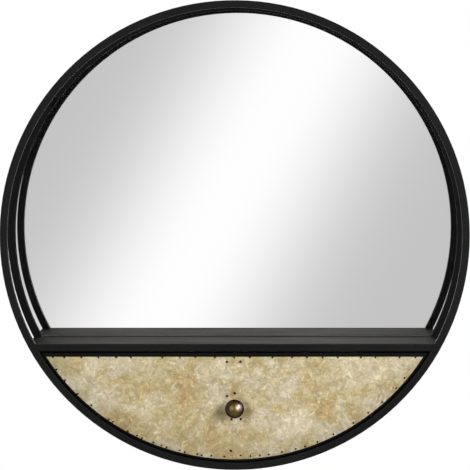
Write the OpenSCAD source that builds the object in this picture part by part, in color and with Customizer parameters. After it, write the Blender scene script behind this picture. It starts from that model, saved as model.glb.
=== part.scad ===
// Round wall mirror with a shelf and a half-moon drawer.
//
// Front view is the XZ plane. The origin is the centre of the hoops on the wall plane.
// The wall is at y = 0 and the object stands off it towards -Y. Distances called "off the
// wall" grow from 0 at the wall to frame_depth at the front of the hoop.

/* [Hoops] */
// Outside diameter of the front hoop
hoop_d = 610; // [560:1:700]
// Width and depth of the square bar of the front hoop and of the chord bar
hoop_bar = 9.5; // [7:0.5:12]
// Rounding of the bar's edges
bar_round = 0.8; // [0.5:0.1:2]
// Distance from the wall to the front of the hoop
frame_depth = 110; // [95:1:140]
// How far the rear ring stands outside the front hoop, all round
rear_grow = 1.5; // [0:0.5:3]
// Depth of the rear ring off the wall
rear_depth = 17; // [16:0.5:22]
// Width of the rear ring's front flange
flange_w = 10; // [7:0.5:12]
// Thickness of the rear ring's flange and band
ring_t = 2; // [1.5:0.1:3]
// Directions of the tie bars between the hoops, in degrees from +X
tie_angles = [145, 90, 35];
// Width of a tie bar along the hoop
tie_w = 12; // [8:1:20]
// Thickness of a tie bar
tie_t = 2; // [1.5:0.5:3]

/* [Shelf] */
// Height of the hoops' centre over the shelf
shelf_drop = 141; // [120:1:170]
// Thickness of the shelf plate
shelf_t = 2; // [1.5:0.1:3]

/* [Mirror] */
// Thickness of the foam gasket between flange and glass
gasket_t = 3; // [1:0.5:4]
// Thickness of the mirror glass
glass_t = 3; // [2:0.5:4]
// Thickness of the backing board
backing_t = 3; // [2:0.5:4]
// Gap between the glass and the rear ring's band
glass_gap = 1; // [0.5:0.1:2]
// Height of the setting blocks under the glass
block_h = 1.2; // [1:0.1:2]
// Length of a setting block
block_len = 30; // [20:1:40]
// Distance of each setting block from the middle
block_x = 130; // [80:1:180]
// Directions of the retaining tabs, in degrees from +X
tab_angles = [-14, 20, 66, 114, 160, 194];
// Width of a retaining tab
tab_w = 14; // [10:1:20]
// Reach of a retaining tab from the band
tab_reach = 16; // [12:1:24]
// Thickness of a retaining tab
tab_t = 1.5; // [1:0.1:2]
// Diameter of a tab screw's shank
tab_screw_d = 2.5; // [2:0.1:3]
// Diameter of a tab screw's head
tab_head_d = 6; // [5:0.5:7]
// Height of a tab screw's head
tab_head_h = 1.8; // [1.2:0.1:2]

/* [Hangers] */
// Distance between the two keyholes
hanger_span = 406.4; // [300:0.1:420]
// Distance of each keyhole in from the band
hanger_edge = 32.5; // [25:0.5:45]
// Height of a hanger plate
hanger_h = 30; // [26:1:40]
// Length of plate beyond the keyhole, towards the middle
hanger_end = 16; // [10:1:25]
// Thickness of a hanger plate
hanger_t = 2; // [1.5:0.1:2.5]
// Diameter of the keyhole's round entry
key_d = 10; // [8:0.5:12]
// Width of the keyhole's slot
key_slot = 5; // [4:0.5:6]
// Rise of the slot's round end over the entry's centre
key_rise = 9; // [8:0.5:11]

/* [Drawer bay] */
// Thickness of the curved housing sheet
housing_t = 1.5; // [1:0.1:2]
// Gap between the housing and the outside of the front hoop
housing_inset = 1; // [0:0.5:3]
// Thickness of the bay's back panel
panel_t = 1.5; // [1:0.1:3]
// Gap between the back panel and the rear ring's band
panel_gap = 0.5; // [0.3:0.1:1]
// Number of panel rivets
rivets = 7; // [5:2:11]
// Depth of the end rivets under the shelf
rivet_drop = 23; // [15:1:40]
// Diameter of a rivet
rivet_d = 3; // [2.5:0.1:4]
// Diameter of a rivet's head
rivet_head_d = 5; // [4:0.5:6]
// Height of a rivet's head
rivet_head_h = 1; // [0.6:0.1:1.5]
// Diameter of a wall bumper
bumper_d = 20; // [15:1:25]
// Distance of each wall bumper from the middle
bumper_x = 130; // [80:1:150]
// Depth of each wall bumper's centre under the shelf
bumper_drop = 72; // [60:1:90]

/* [Runners] */
// Thickness of the runner angle
runner_t = 1.5; // [1:0.1:2]
// Height of the runner's upright leg
runner_h = 22; // [15:1:30]
// Reach of the runner under the drawer side
runner_reach = 20; // [15:1:30]
// Thickness of the glide tape
tape_t = 0.7; // [0.5:0.1:1]
// Gap over the glide tape and beside the drawer
slide_gap = 0.5; // [0.3:0.1:1]
// Width of a kicker strip
kicker_w = 14; // [10:1:20]
// Gap between the drawer front and the runners behind it
front_gap = 1.4; // [1:0.1:3]
// Thickness of the stop bumpers
stop_t = 2; // [1:0.5:4]
// Width of a stop bumper
stop_w = 14; // [10:1:20]
// Height of a stop bumper
stop_h = 5; // [4:0.5:6]
// Distance of each stop bumper from the middle
stop_x = 90; // [50:1:110]

/* [Drawer] */
// Thickness of the drawer front board
board_t = 9; // [7:0.5:12]
// Gap round the drawer front board
board_gap = 2; // [1:0.1:3]
// Width of the board's bare edge along the arc
edge_arc = 2.6; // [1:0.1:4]
// Width of the board's bare edge along the top
edge_top = 5; // [2:0.5:7]
// Thickness of the metal cladding
clad_t = 0.6; // [0.4:0.1:1]
// Place of the joint between the two sheets, right of the middle
seam_x = -3; // [-10:0.5:10]
// Gap between the two sheets
seam_gap = 0.2; // [0.1:0.1:1]
// Thickness of the box front
box_front_t = 7; // [5:0.5:10]
// Thickness of the box sides
side_t = 9; // [6:0.5:12]
// Thickness of the box back
back_t = 8; // [6:0.5:12]
// Thickness of the box bottom
bottom_t = 5; // [4:0.5:8]
// Depth of the box's underside below the knob's centre
box_under_knob = 11; // [10:0.5:16]
// Gap between the box's lower corners and the housing
corner_gap = 11.5; // [8:0.5:20]
// Gap between the box and the rear ring's flange
rear_gap = 3; // [2:0.5:8]
// Gap between the box back's top and the shelf plate
back_gap = 3; // [1:0.5:4]
// Gap between the box back and the kickers
kicker_gap = 6; // [2:0.5:10]

/* [Fasteners] */
// Diameter of the tack heads by the joint
tack_head_d = 3.2; // [2.5:0.1:4]
// Diameter of the smaller tack heads along the edges
edge_head_d = 2.4; // [2:0.1:4]
// Height of a tack's domed head
tack_head_h = 0.9; // [0.6:0.1:1.2]
// Diameter of a tack's shank
tack_d = 1.2; // [1:0.1:1.5]
// Length of a tack's shank
tack_len = 7; // [5:0.5:8]
// Least distance of the tacks in from the sheet's arc
tack_inset = 1; // [1:0.1:4]
// Distance of the tacks below the sheet's top edge
tack_top_inset = 0.7; // [0.6:0.1:4]
// Diameter of a wood screw's shank
screw_d = 3.5; // [3:0.1:4]
// Diameter of a wood screw's head
screw_head_d = 7; // [6:0.5:8]
// Height of a wood screw's head
screw_head_h = 2; // [1.5:0.1:2.5]
// Bite of a wood screw in the board
screw_bite = 6; // [4:0.5:6.5]
// Clearance round a screw in a drilled hole
screw_gap = 0.1; // [0.05:0.05:0.3]
// Distance of the front screws from the middle
screw_x = 110; // [60:1:125]
// Distance of the front screws from the box front's edges
screw_edge = 15; // [10:1:20]
// Diameter of a brad
brad_d = 1.4; // [1:0.1:2]
// Length of a brad
brad_len = 24; // [15:1:30]

/* [Knob] */
// Height of the knob above the middle of the metal sheets
knob_rise = 1; // [0:0.5:6]
// Diameter of the ball
knob_d = 24.5; // [18:0.5:32]
// Distance of the ball's centre from the cladding
knob_reach = 16; // [14:0.5:22]
// Diameter of the neck
neck_d = 9; // [7:0.5:12]
// Diameter of the knob's foot
foot_d = 13; // [11:0.5:16]
// Thickness of the knob's foot
foot_t = 1.6; // [1:0.1:3]
// Diameter of the rosette
rosette_d = 17; // [14:0.5:22]
// Thickness of the rosette
rosette_t = 1.2; // [0.8:0.1:2]
// Diameter of the knob screw
knob_screw_d = 4; // [3:0.5:5]
// Length of knob screw in the knob
knob_bite = 9; // [6:0.5:10]
// Diameter of the knob screw's head
knob_head_d = 8; // [7:0.5:9]
// Height of the knob screw's head
knob_head_h = 2.6; // [2:0.1:3]
// Diameter of the washer
washer_d = 10; // [9:0.5:11]
// Thickness of the washer
washer_t = 1; // [0.5:0.1:1.5]

/* [Hidden] */
$fn = 240;
SMALL = 48;
SPARE = 1;

// Radii in the front view
hoop_r = hoop_d / 2;
hoop_in = hoop_r - hoop_bar;
rear_r = hoop_r + rear_grow;
band_in = rear_r - ring_t;
flange_in = rear_r - flange_w;
glass_r = band_in - glass_gap;
gasket_in = flange_in + (band_in - flange_in) / 8;
housing_out = hoop_r - housing_inset;
housing_in = housing_out - housing_t;
panel_r = band_in - panel_gap;
board_r = hoop_in - board_gap;
clad_r = board_r - edge_arc;
rivet_r = (flange_in + panel_r) / 2;

// Heights in the front view
shelf_top = -shelf_drop;
shelf_under = shelf_top - shelf_t;
bar_under = shelf_top - hoop_bar;
glass_foot = shelf_top + block_h;
board_top = bar_under - board_gap;
clad_top = board_top - edge_top;
knob_z = (clad_top - clad_r) / 2 + knob_rise;
box_under = knob_z - box_under_knob;
box_top = board_top - board_gap;
box_half = sqrt(pow(housing_in - corner_gap, 2) - pow(box_under, 2));
box_in = box_half - side_t;
kicker_under = box_top + slide_gap;
tape_top = box_under - slide_gap;
runner_top = tape_top - tape_t;
runner_in = box_half + slide_gap;
back_top = shelf_under - back_gap;
back_half = box_half - kicker_w - kicker_gap;

// Distances off the wall
flange_back = rear_depth - ring_t;
glass_face = flange_back - gasket_t;
backing_face = glass_face - glass_t;
backing_rear = backing_face - backing_t;
tab_rear = backing_rear - tab_t;
bar_back = frame_depth - hoop_bar;
tie_len = bar_back - rear_depth;
board_face = frame_depth - clad_t;
board_back = board_face - board_t;
box_inner = board_back - box_front_t;
box_rear = rear_depth + rear_gap;
back_face = box_rear + back_t;
runner_front = board_back - front_gap;
runner_len = runner_front - rear_depth;

// Fastener places
rivet_half = acos((rivet_drop - shelf_under) / rivet_r);
rivet_angles = [for (i = [0 : rivets - 1]) 270 + rivet_half * (2 * i / (rivets - 1) - 1)];
hanger_x = hanger_span / 2;
hanger_z = sqrt(pow(band_in - hanger_edge, 2) - pow(hanger_x, 2));
tab_in = band_in - tab_reach;
tab_screw_r = tab_in + tab_reach / 2;
tack_r = clad_r - tack_inset;
tack_top = clad_top - tack_top_inset;
top_half = sqrt(pow(clad_r, 2) - pow(clad_top, 2));
front_screw_z = [box_top - screw_edge, box_under + screw_edge];

// Tacks along the top edge: distance right of the middle, as a share of half the edge
TOP_TACKS = [-0.965, -0.905, -0.814, -0.724, -0.629, -0.551, -0.384, -0.291, -0.209, -0.105,
             -0.003, 0.081, 0.2, 0.304, 0.384, 0.466, 0.548, 0.67, 0.747, 0.875, 0.96];
// Tacks along the arc: degrees right of its lowest point, and share of tack_inset further in
ARC_TACKS = [[-53.1, 0.4], [-49.6, 0.1], [-44.8, 0.1], [-40.2, 1.2], [-34.4, 0.4], [-33.2, 0.9],
             [-28.7, 0], [-26, 0.8], [-24.6, 0], [-21.5, 0.8], [-19.2, 1], [-17.9, 0.5],
             [-14.4, 1.6], [-13, 0.8], [-9.7, 1.6], [-8.6, 1], [-6.1, 1.9], [-2.7, 2.1],
             [1.5, 3.8], [4.1, 2.5], [6.5, 2.2], [8.8, 1.8], [12.3, 1.6], [15.9, 1.4],
             [18.4, 0.9], [21.8, 0.8], [26.4, 1.4], [32.3, 1.8], [37, 1.8], [41.5, 0.9],
             [46.6, 1.4], [50, 2.2]];
// Tacks by the joint: heads to the right of it, and share of the sheet's height below its top
SEAM_TACKS = [[-2.281, 0.05], [3.25, 0.048], [-2.25, 0.382], [0.844, 0.355],
              [-0.406, 0.61], [3.375, 0.607], [-0.719, 0.917]];

echo(knob_z=knob_z, box_half=box_half, box_under=box_under, hanger_z=hanger_z,
     travel=bar_back - stop_t - back_face);

STEEL = [0.13, 0.13, 0.13];
SHEET = [0.76, 0.69, 0.54];
PLY = [0.72, 0.58, 0.42];
ZINC = [0.68, 0.69, 0.71];
RUBBER = [0.08, 0.08, 0.08];
BRONZE = [0.36, 0.30, 0.17];

// A plate with its outline in the front view, from a distance off the wall forwards
module plate(from, thickness) {
    translate([0, -from, 0]) rotate([90, 0, 0]) linear_extrude(thickness) children();
}

// A ring turned about the hoops' axis, from an outline of radius and distance off the wall
module turned() {
    rotate([90, 0, 0]) rotate_extrude() children();
}

// A turned piece about an axis to the wall, at a place in the front view
module turned_at(x, z) {
    translate([x, 0, z]) rotate([90, 0, 0]) rotate_extrude($fn = SMALL) children();
}

// A round pin or hole to the wall, at a place in the front view
module pin(x, z, from, length, d) {
    translate([x, -from, z]) rotate([90, 0, 0]) cylinder(d = d, h = length, $fn = SMALL);
}

// Outline of a disc below a level
module below(r, level) {
    intersection() {
        circle(r);
        translate([-r - SPARE, -r - SPARE]) square([2 * (r + SPARE), r + SPARE + level]);
    }
}

// Outline of a disc above a level
module above(r, level) {
    intersection() {
        circle(r);
        translate([-r - SPARE, level]) square([2 * (r + SPARE), r + SPARE - level]);
    }
}

// Outline of a square bar with rounded edges, its low corner at the origin
module bar_section() {
    flat = hoop_bar - 2 * bar_round;
    translate([bar_round, 0]) square([flat, hoop_bar]);
    translate([0, bar_round]) square([hoop_bar, flat]);
    for (x = [bar_round, hoop_bar - bar_round], y = [bar_round, hoop_bar - bar_round])
        translate([x, y]) circle(bar_round, $fn = SMALL);
}

// Copies one piece to the other side of the middle
module both_sides() {
    children();
    mirror([1, 0, 0]) children();
}

// ---- Frame ----

module front_hoop() {
    color(STEEL) turned() translate([hoop_in, bar_back]) bar_section();
}

module rear_ring() {
    color(STEEL) difference() {
        turned() {
            translate([band_in, 0]) square([ring_t, rear_depth]);
            translate([flange_in, flange_back]) square([flange_w, ring_t]);
        }
        for (a = rivet_angles)
            pin(rivet_r * cos(a), rivet_r * sin(a), flange_back - SPARE, ring_t + 2 * SPARE, rivet_d);
    }
}

// The bar that edges the shelf, its ends cut to the inside of the hoop
module chord_bar() {
    color(STEEL) intersection() {
        translate([-hoop_r, -frame_depth, bar_under])
            rotate([90, 0, 90]) linear_extrude(hoop_d) bar_section();
        plate(bar_back - SPARE, hoop_bar + 2 * SPARE) circle(hoop_in);
    }
}

// Full width between the hoops, narrower where it passes the rear ring's flange
module shelf_plate() {
    color(STEEL) {
        plate(rear_depth, tie_len) shelf_outline(hoop_r);
        plate(backing_rear, rear_depth - backing_rear) shelf_outline(flange_in - panel_gap);
    }
}

module shelf_outline(r) {
    intersection() {
        circle(r);
        translate([-r, shelf_under]) square([2 * r, shelf_t]);
    }
}

module tie_bar(angle) {
    color(STEEL) plate(rear_depth, tie_len)
        rotate(angle) translate([housing_out - tie_t, -tie_w / 2]) square([tie_t, tie_w]);
}

// ---- Mirror ----

// Foam strip under the flange and along the foot of the glass
module mirror_gasket() {
    color(RUBBER) plate(glass_face, gasket_t) difference() {
        above(glass_r, shelf_top);
        above(gasket_in, glass_foot);
    }
}

module mirror_glass() {
    color([0.85, 0.88, 0.9]) plate(backing_face, glass_t) above(glass_r, glass_foot);
}

module mirror_backing() {
    color(PLY) plate(backing_rear, backing_t) above(glass_r, shelf_top);
}

module setting_blocks() {
    color(RUBBER) both_sides()
        translate([block_x - block_len / 2, -glass_face, shelf_top])
            cube([block_len, glass_t, block_h]);
}

module retaining_tabs() {
    color(ZINC) plate(tab_rear, tab_t) for (a = tab_angles) difference() {
        intersection() {
            rotate(a) translate([tab_in, -tab_w / 2]) square([tab_reach + SPARE, tab_w]);
            circle(band_in);
        }
        rotate(a) translate([tab_screw_r, 0]) circle(d = tab_screw_d + 2 * screw_gap, $fn = SMALL);
    }
}

module tab_screws() {
    color(ZINC) for (a = tab_angles) {
        x = tab_screw_r * cos(a);
        z = tab_screw_r * sin(a);
        pin(x, z, tab_rear - tab_head_h, tab_head_h, tab_head_d);
        pin(x, z, tab_rear, tab_t + backing_t - screw_gap, tab_screw_d);
    }
}

// ---- Hangers ----

// Plate welded to the band, with a keyhole whose slot rises over its round entry
module hanger(side) {
    color(ZINC) plate(0, hanger_t) difference() {
        intersection() {
            circle(band_in);
            mirror([side < 0 ? 1 : 0, 0])
                translate([hanger_x - hanger_end, hanger_z - hanger_h / 2])
                    square([hoop_r, hanger_h]);
        }
        translate([side * hanger_x, hanger_z - key_rise / 2]) {
            circle(d = key_d, $fn = SMALL);
            translate([-key_slot / 2, 0]) square([key_slot, key_rise]);
            translate([0, key_rise]) circle(d = key_slot, $fn = SMALL);
        }
    }
}

// ---- Drawer bay ----

module drawer_housing() {
    color(STEEL) plate(rear_depth, tie_len) difference() {
        below(housing_out, shelf_under);
        circle(housing_in);
    }
}

module bay_back_panel() {
    color(STEEL) difference() {
        plate(flange_back - panel_t, panel_t) below(panel_r, shelf_under);
        for (a = rivet_angles)
            pin(rivet_r * cos(a), rivet_r * sin(a), flange_back - panel_t - SPARE,
                panel_t + 2 * SPARE, rivet_d);
    }
}

module panel_rivets() {
    color(ZINC) for (a = rivet_angles) {
        x = rivet_r * cos(a);
        z = rivet_r * sin(a);
        pin(x, z, flange_back - panel_t - rivet_head_h, rivet_head_h, rivet_head_d);
        pin(x, z, flange_back - panel_t, panel_t + ring_t, rivet_d);
    }
}

module wall_bumpers() {
    color(RUBBER) both_sides()
        pin(bumper_x, shelf_top - bumper_drop, 0, flange_back - panel_t, bumper_d);
}

// Angle that reaches from the housing to under the drawer side
module runner(side) {
    color(ZINC) plate(rear_depth, runner_len) mirror([side < 0 ? 1 : 0, 0]) intersection() {
        circle(housing_in);
        union() {
            translate([box_half - runner_reach, runner_top - runner_t]) square([hoop_r, runner_t]);
            translate([runner_in, runner_top - runner_t]) square([runner_t, runner_h]);
        }
    }
}

module glide_tape(side) {
    color([0.9, 0.9, 0.88]) plate(rear_depth, runner_len) mirror([side < 0 ? 1 : 0, 0])
        translate([box_half - runner_reach, runner_top]) square([runner_reach, tape_t]);
}

// Black-stained strip under the shelf that keeps the pulled drawer from tipping
module kicker(side) {
    color(STEEL) plate(rear_depth, runner_len) mirror([side < 0 ? 1 : 0, 0])
        translate([box_half - kicker_w, kicker_under])
            square([kicker_w, shelf_under - kicker_under]);
}

module stop_bumpers() {
    color(RUBBER) plate(bar_back - stop_t, stop_t) both_sides()
        translate([stop_x - stop_w / 2, bar_under]) square([stop_w, stop_h]);
}

// ---- Drawer ----

module knob_hole(from, length) {
    pin(0, knob_z, from, length, knob_screw_d + 2 * screw_gap);
}

module drawer_front() {
    color(STEEL) difference() {
        plate(board_back, board_t) below(board_r, board_top);
        knob_hole(board_back - SPARE, board_t + 2 * SPARE);
    }
}

module cladding_outline() {
    difference() {
        below(clad_r, clad_top);
        translate([0, knob_z]) circle(d = knob_screw_d + 2 * screw_gap, $fn = SMALL);
    }
}

module cladding_left() {
    color(SHEET) plate(board_face, clad_t) intersection() {
        cladding_outline();
        translate([-hoop_r, -hoop_r]) square([hoop_r + seam_x - seam_gap / 2, hoop_r]);
    }
}

module cladding_right() {
    color(SHEET) plate(board_face, clad_t) intersection() {
        cladding_outline();
        translate([seam_x + seam_gap / 2, -hoop_r]) square([hoop_r, hoop_r]);
    }
}

// Domed head on the sheet and a straight shank in the board
module tack(x, z, head_d) {
    dome_r = (pow(head_d / 2, 2) + pow(tack_head_h, 2)) / (2 * tack_head_h);
    turned_at(x, z) {
        translate([0, frame_depth - tack_len]) square([tack_d / 2, tack_len + tack_head_h / 2]);
        intersection() {
            translate([0, frame_depth + tack_head_h - dome_r]) circle(dome_r, $fn = SMALL);
            translate([0, frame_depth]) square([head_d / 2 + SPARE, tack_head_h + SPARE]);
        }
    }
}

module cladding_tacks() {
    color(RUBBER) {
        for (share = TOP_TACKS)
            tack(share * top_half, tack_top, edge_head_d);
        for (t = ARC_TACKS) let (r = tack_r - t[1] * tack_inset)
            tack(r * sin(t[0]), -r * cos(t[0]), edge_head_d);
        for (s = SEAM_TACKS)
            tack(seam_x + s[0] * tack_head_d, clad_top - (clad_r + clad_top) * s[1], tack_head_d);
    }
}

module box_front() {
    color(PLY) difference() {
        plate(box_inner, box_front_t)
            translate([-box_in, box_under]) square([2 * box_in, box_top - box_under]);
        knob_hole(box_inner - SPARE, box_front_t + 2 * SPARE);
        for (x = [-screw_x, screw_x], z = front_screw_z)
            pin(x, z, box_inner - SPARE, box_front_t + 2 * SPARE, screw_d + 2 * screw_gap);
    }
}

module box_side(side) {
    color(PLY) plate(box_rear, board_back - box_rear) mirror([side < 0 ? 1 : 0, 0])
        translate([box_in, box_under]) square([side_t, box_top - box_under]);
}

// The back's raised middle meets the stop bumpers when the drawer is pulled
module box_back() {
    color(PLY) plate(box_rear, back_t) {
        translate([-box_in, box_under]) square([2 * box_in, box_top - box_under]);
        translate([-back_half, box_under]) square([2 * back_half, back_top - box_under]);
    }
}

module box_bottom() {
    color(PLY) plate(back_face, box_inner - back_face)
        translate([-box_in, box_under]) square([2 * box_in, bottom_t]);
}

// Brads through the sides into the front, the back and the bottom
module box_brads() {
    wall_z = [for (k = [1, 3, 5]) box_under + bottom_t + (box_top - box_under - bottom_t) * k / 6];
    joints = [box_inner + box_front_t / 2, box_rear + back_t / 2];
    floor_y = [for (k = [1, 2]) back_face + (box_inner - back_face) * k / 3];
    color(ZINC) both_sides() {
        for (y = joints, z = wall_z) brad(y, z);
        for (y = floor_y) brad(y, box_under + bottom_t / 2);
    }
}

module brad(y, z) {
    translate([box_half, -y, z]) rotate([0, -90, 0]) cylinder(d = brad_d, h = brad_len, $fn = SMALL);
}

module front_screws() {
    color(ZINC) for (x = [-screw_x, screw_x], z = front_screw_z) {
        pin(x, z, box_inner - screw_head_h, screw_head_h, screw_head_d);
        pin(x, z, box_inner, box_front_t + screw_bite, screw_d);
    }
}

// ---- Knob ----

module knob_rosette() {
    color(BRONZE) difference() {
        pin(0, knob_z, frame_depth, rosette_t, rosette_d);
        knob_hole(frame_depth - SPARE, rosette_t + 2 * SPARE);
    }
}

// Ball, neck and foot turned in one piece, with a blind hole for the screw
module knob() {
    foot = frame_depth + rosette_t;
    color(BRONZE) difference() {
        turned_at(0, knob_z) {
            translate([0, foot]) square([foot_d / 2, foot_t]);
            translate([0, foot]) square([neck_d / 2, knob_reach - rosette_t]);
            intersection() {
                translate([0, frame_depth + knob_reach]) circle(d = knob_d, $fn = 2 * SMALL);
                translate([0, foot]) square([knob_d, knob_d + knob_reach]);
            }
        }
        knob_hole(foot - SPARE, knob_bite + 2 * SPARE);
    }
}

module knob_washer() {
    color(ZINC) difference() {
        pin(0, knob_z, box_inner - washer_t, washer_t, washer_d);
        knob_hole(box_inner - washer_t - SPARE, washer_t + 2 * SPARE);
    }
}

module knob_screw() {
    head = box_inner - washer_t - knob_head_h;
    color(ZINC) {
        pin(0, knob_z, head, knob_head_h, knob_head_d);
        pin(0, knob_z, head + knob_head_h, frame_depth + rosette_t + knob_bite - head - knob_head_h,
            knob_screw_d);
    }
}

front_hoop();
rear_ring();
chord_bar();
shelf_plate();
tie_bar(tie_angles[0]);  // tie_bar_left
tie_bar(tie_angles[1]);  // tie_bar_top
tie_bar(tie_angles[2]);  // tie_bar_right
mirror_gasket();
mirror_glass();
mirror_backing();
setting_blocks();
retaining_tabs();
tab_screws();
hanger(-1);  // hanger_left
hanger(1);  // hanger_right
drawer_housing();
bay_back_panel();
panel_rivets();
wall_bumpers();
runner(-1);  // runner_left
runner(1);  // runner_right
glide_tape(-1);  // glide_tape_left
glide_tape(1);  // glide_tape_right
kicker(-1);  // kicker_left
kicker(1);  // kicker_right
stop_bumpers();
drawer_front();
cladding_left();
cladding_right();
cladding_tacks();
box_front();
box_side(-1);  // box_side_left
box_side(1);  // box_side_right
box_back();
box_bottom();
box_brads();
front_screws();
knob();
knob_rosette();
knob_screw();
knob_washer();
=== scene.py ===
"""Round wall mirror with a shelf and a half-moon drawer: its finishes, added pieces and studio.

The frame holds every CAD piece in metres. X runs to the right, Z up, and -Y off the wall
towards the room, so a smaller y is nearer to the viewer. Each sub-assembly is a class that
gives its CAD pieces a finish and models the pieces that need more shape than the CAD has.
"""

import logging
import math
import random
from collections.abc import Callable, Iterator, Sequence
from contextlib import contextmanager
from dataclasses import dataclass, field
from enum import Enum
from itertools import pairwise
from typing import ClassVar

import bmesh
import bpy
from mathutils import Matrix, Vector
from mathutils.kdtree import KDTree


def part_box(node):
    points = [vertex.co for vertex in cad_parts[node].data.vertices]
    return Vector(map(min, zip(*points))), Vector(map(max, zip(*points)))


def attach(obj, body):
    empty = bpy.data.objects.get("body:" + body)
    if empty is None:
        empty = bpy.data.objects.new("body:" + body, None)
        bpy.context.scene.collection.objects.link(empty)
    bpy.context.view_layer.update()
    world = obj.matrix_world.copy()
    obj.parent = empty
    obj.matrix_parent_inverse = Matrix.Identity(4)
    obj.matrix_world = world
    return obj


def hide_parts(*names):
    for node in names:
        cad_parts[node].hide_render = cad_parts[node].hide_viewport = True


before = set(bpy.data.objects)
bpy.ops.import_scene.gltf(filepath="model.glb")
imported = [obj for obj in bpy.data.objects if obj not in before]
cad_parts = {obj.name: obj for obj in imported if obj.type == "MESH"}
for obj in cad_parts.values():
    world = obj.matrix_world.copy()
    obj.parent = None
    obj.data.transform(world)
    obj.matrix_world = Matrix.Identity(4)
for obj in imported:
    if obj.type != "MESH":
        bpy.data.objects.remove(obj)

bpy.context.view_layer.update()

Pair = tuple[float, float]
Triple = tuple[float, float, float]
Box = tuple[Vector, Vector]
Piece = bpy.types.Object
Socket = bpy.types.NodeSocket
Feed = float | Triple | Socket

MM = 0.001
WHITE: Triple = (1.0, 1.0, 1.0)
MID_GREY: Triple = (0.5, 0.5, 0.5)
TO_VIEWER: Triple = (0.0, -1.0, 0.0)
IN_FRONT_VIEW: Triple = (1.0, 0.0, 1.0)
log = logging.getLogger("mirror")


class Side(Enum):
    """A side of the object, as the viewer sees it."""

    LEFT = -1
    RIGHT = 1


class Axis(Enum):
    """A direction that a grain or a layer follows."""

    X = 0
    Y = 1
    Z = 2

    def unit(self) -> Triple:
        """The direction as a vector of length 1."""
        return tuple(1.0 if k == self.value else 0.0 for k in range(3))


class Body(Enum):
    """The bodies of the frame."""

    FRAME = "frame"
    DRAWER = "drawer"


class Slot(Enum):
    """The record's material slots."""

    STEEL = "black_steel"
    SHEET = "gilt_sheet"
    TACK = "black_tack"
    RUBBER = "rubber"
    ZINC = "zinc_steel"
    BRONZE = "antique_bronze"


# ---- Modelling bench ----


def pick(*pieces: Piece) -> None:
    """Selects some pieces and nothing else, the first of them active.

    Args:
        pieces: The pieces to select.
    """
    bpy.ops.object.select_all(action="DESELECT")
    for piece in pieces:
        piece.select_set(True)
    bpy.context.view_layer.objects.active = pieces[0]


def settle(*pieces: Piece) -> None:
    """Moves the place, turn and scale of some pieces into their meshes."""
    pick(*pieces)
    bpy.ops.object.transform_apply(location=True, rotation=True, scale=True)


def started(name: str) -> Piece:
    """Names the primitive that was just added and settles it.

    Args:
        name: The name of the new piece.

    Returns:
        The piece, at the origin, with its place in its mesh.
    """
    piece = bpy.context.object
    piece.name = piece.data.name = name
    settle(piece)
    return piece


@contextmanager
def editing(piece: Piece) -> Iterator[None]:
    """Opens a piece in edit mode with all of it selected, and closes it again.

    Args:
        piece: The piece to edit.
    """
    pick(piece)
    bpy.ops.object.mode_set(mode="EDIT")
    bpy.ops.mesh.select_mode(type="VERT")
    bpy.ops.mesh.select_all(action="SELECT")
    yield
    bpy.ops.object.mode_set(mode="OBJECT")


def mark_points(piece: Piece, test: Callable[[Vector], bool]) -> None:
    """Selects the points that pass a test, and nothing else, in edit mode.

    Args:
        piece: The piece that is open.
        test: Says of a point whether it is selected.
    """
    bpy.ops.mesh.select_mode(type="VERT")
    bpy.ops.mesh.select_all(action="DESELECT")
    mesh = bmesh.from_edit_mesh(piece.data)
    for point in mesh.verts:
        point.select_set(test(point.co))
    mesh.select_flush(True)
    bmesh.update_edit_mesh(piece.data)


def mark_faces(piece: Piece, test: Callable[[Vector], bool]) -> None:
    """Selects the faces whose normal passes a test, and nothing else, in edit mode.

    Args:
        piece: The piece that is open.
        test: Says of a face's normal whether the face is selected.
    """
    bpy.ops.mesh.select_mode(type="FACE")
    bpy.ops.mesh.select_all(action="DESELECT")
    mesh = bmesh.from_edit_mesh(piece.data)
    for face in mesh.faces:
        face.select_set(test(face.normal))
    bmesh.update_edit_mesh(piece.data)


def modify(piece: Piece, kind: str, **settings: object) -> None:
    """Adds a live modifier to a piece.

    Args:
        piece: The piece to change.
        kind: Type of the modifier.
        settings: Its settings.
    """
    modifier = piece.modifiers.new(kind.lower(), kind)
    for setting, value in settings.items():
        setattr(modifier, setting, value)


def apply_modifiers(piece: Piece) -> None:
    """Applies all modifiers of a piece in their order.

    Args:
        piece: The piece to finish.
    """
    pick(piece)
    for modifier in list(piece.modifiers):
        bpy.ops.object.modifier_apply(modifier=modifier.name)


def smooth(piece: Piece, degrees: float = 35.0) -> None:
    """Merges doubled points, points the faces outwards and smooths all but sharp edges.

    Args:
        piece: The piece to finish.
        degrees: Edges sharper than this stay sharp.
    """
    with editing(piece):
        bpy.ops.mesh.remove_doubles(threshold=0.002 * MM)
        bpy.ops.mesh.normals_make_consistent(inside=False)
    pick(piece)
    bpy.ops.object.shade_smooth_by_angle(angle=math.radians(degrees))


def add_clouds(piece: Piece, axis: str, height: float, size: float, group: str = "") -> None:
    """Adds a live push by soft clouds to a piece.

    Args:
        piece: The piece to push.
        axis: X, Y, Z or NORMAL.
        height: How far the highest cloud pushes, in metres.
        size: Distance between clouds, in metres.
        group: Vertex group that limits the push, if any.
    """
    texture = bpy.data.textures.new(f"{piece.name}_clouds", "CLOUDS")
    texture.noise_scale = size
    texture.noise_depth = 1
    push = {"texture": texture, "texture_coords": "LOCAL", "direction": axis}
    modify(piece, "DISPLACE", **push, mid_level=0.0, strength=height, vertex_group=group)


def cut_away(piece: Piece, cutter: Piece) -> None:
    """Cuts one piece out of another and deletes the cutter.

    Args:
        piece: The piece that is cut.
        cutter: The closed piece that cuts.
    """
    modify(piece, "BOOLEAN", operation="DIFFERENCE", solver="EXACT", object=cutter)
    apply_modifiers(piece)
    bpy.data.objects.remove(cutter)


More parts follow.
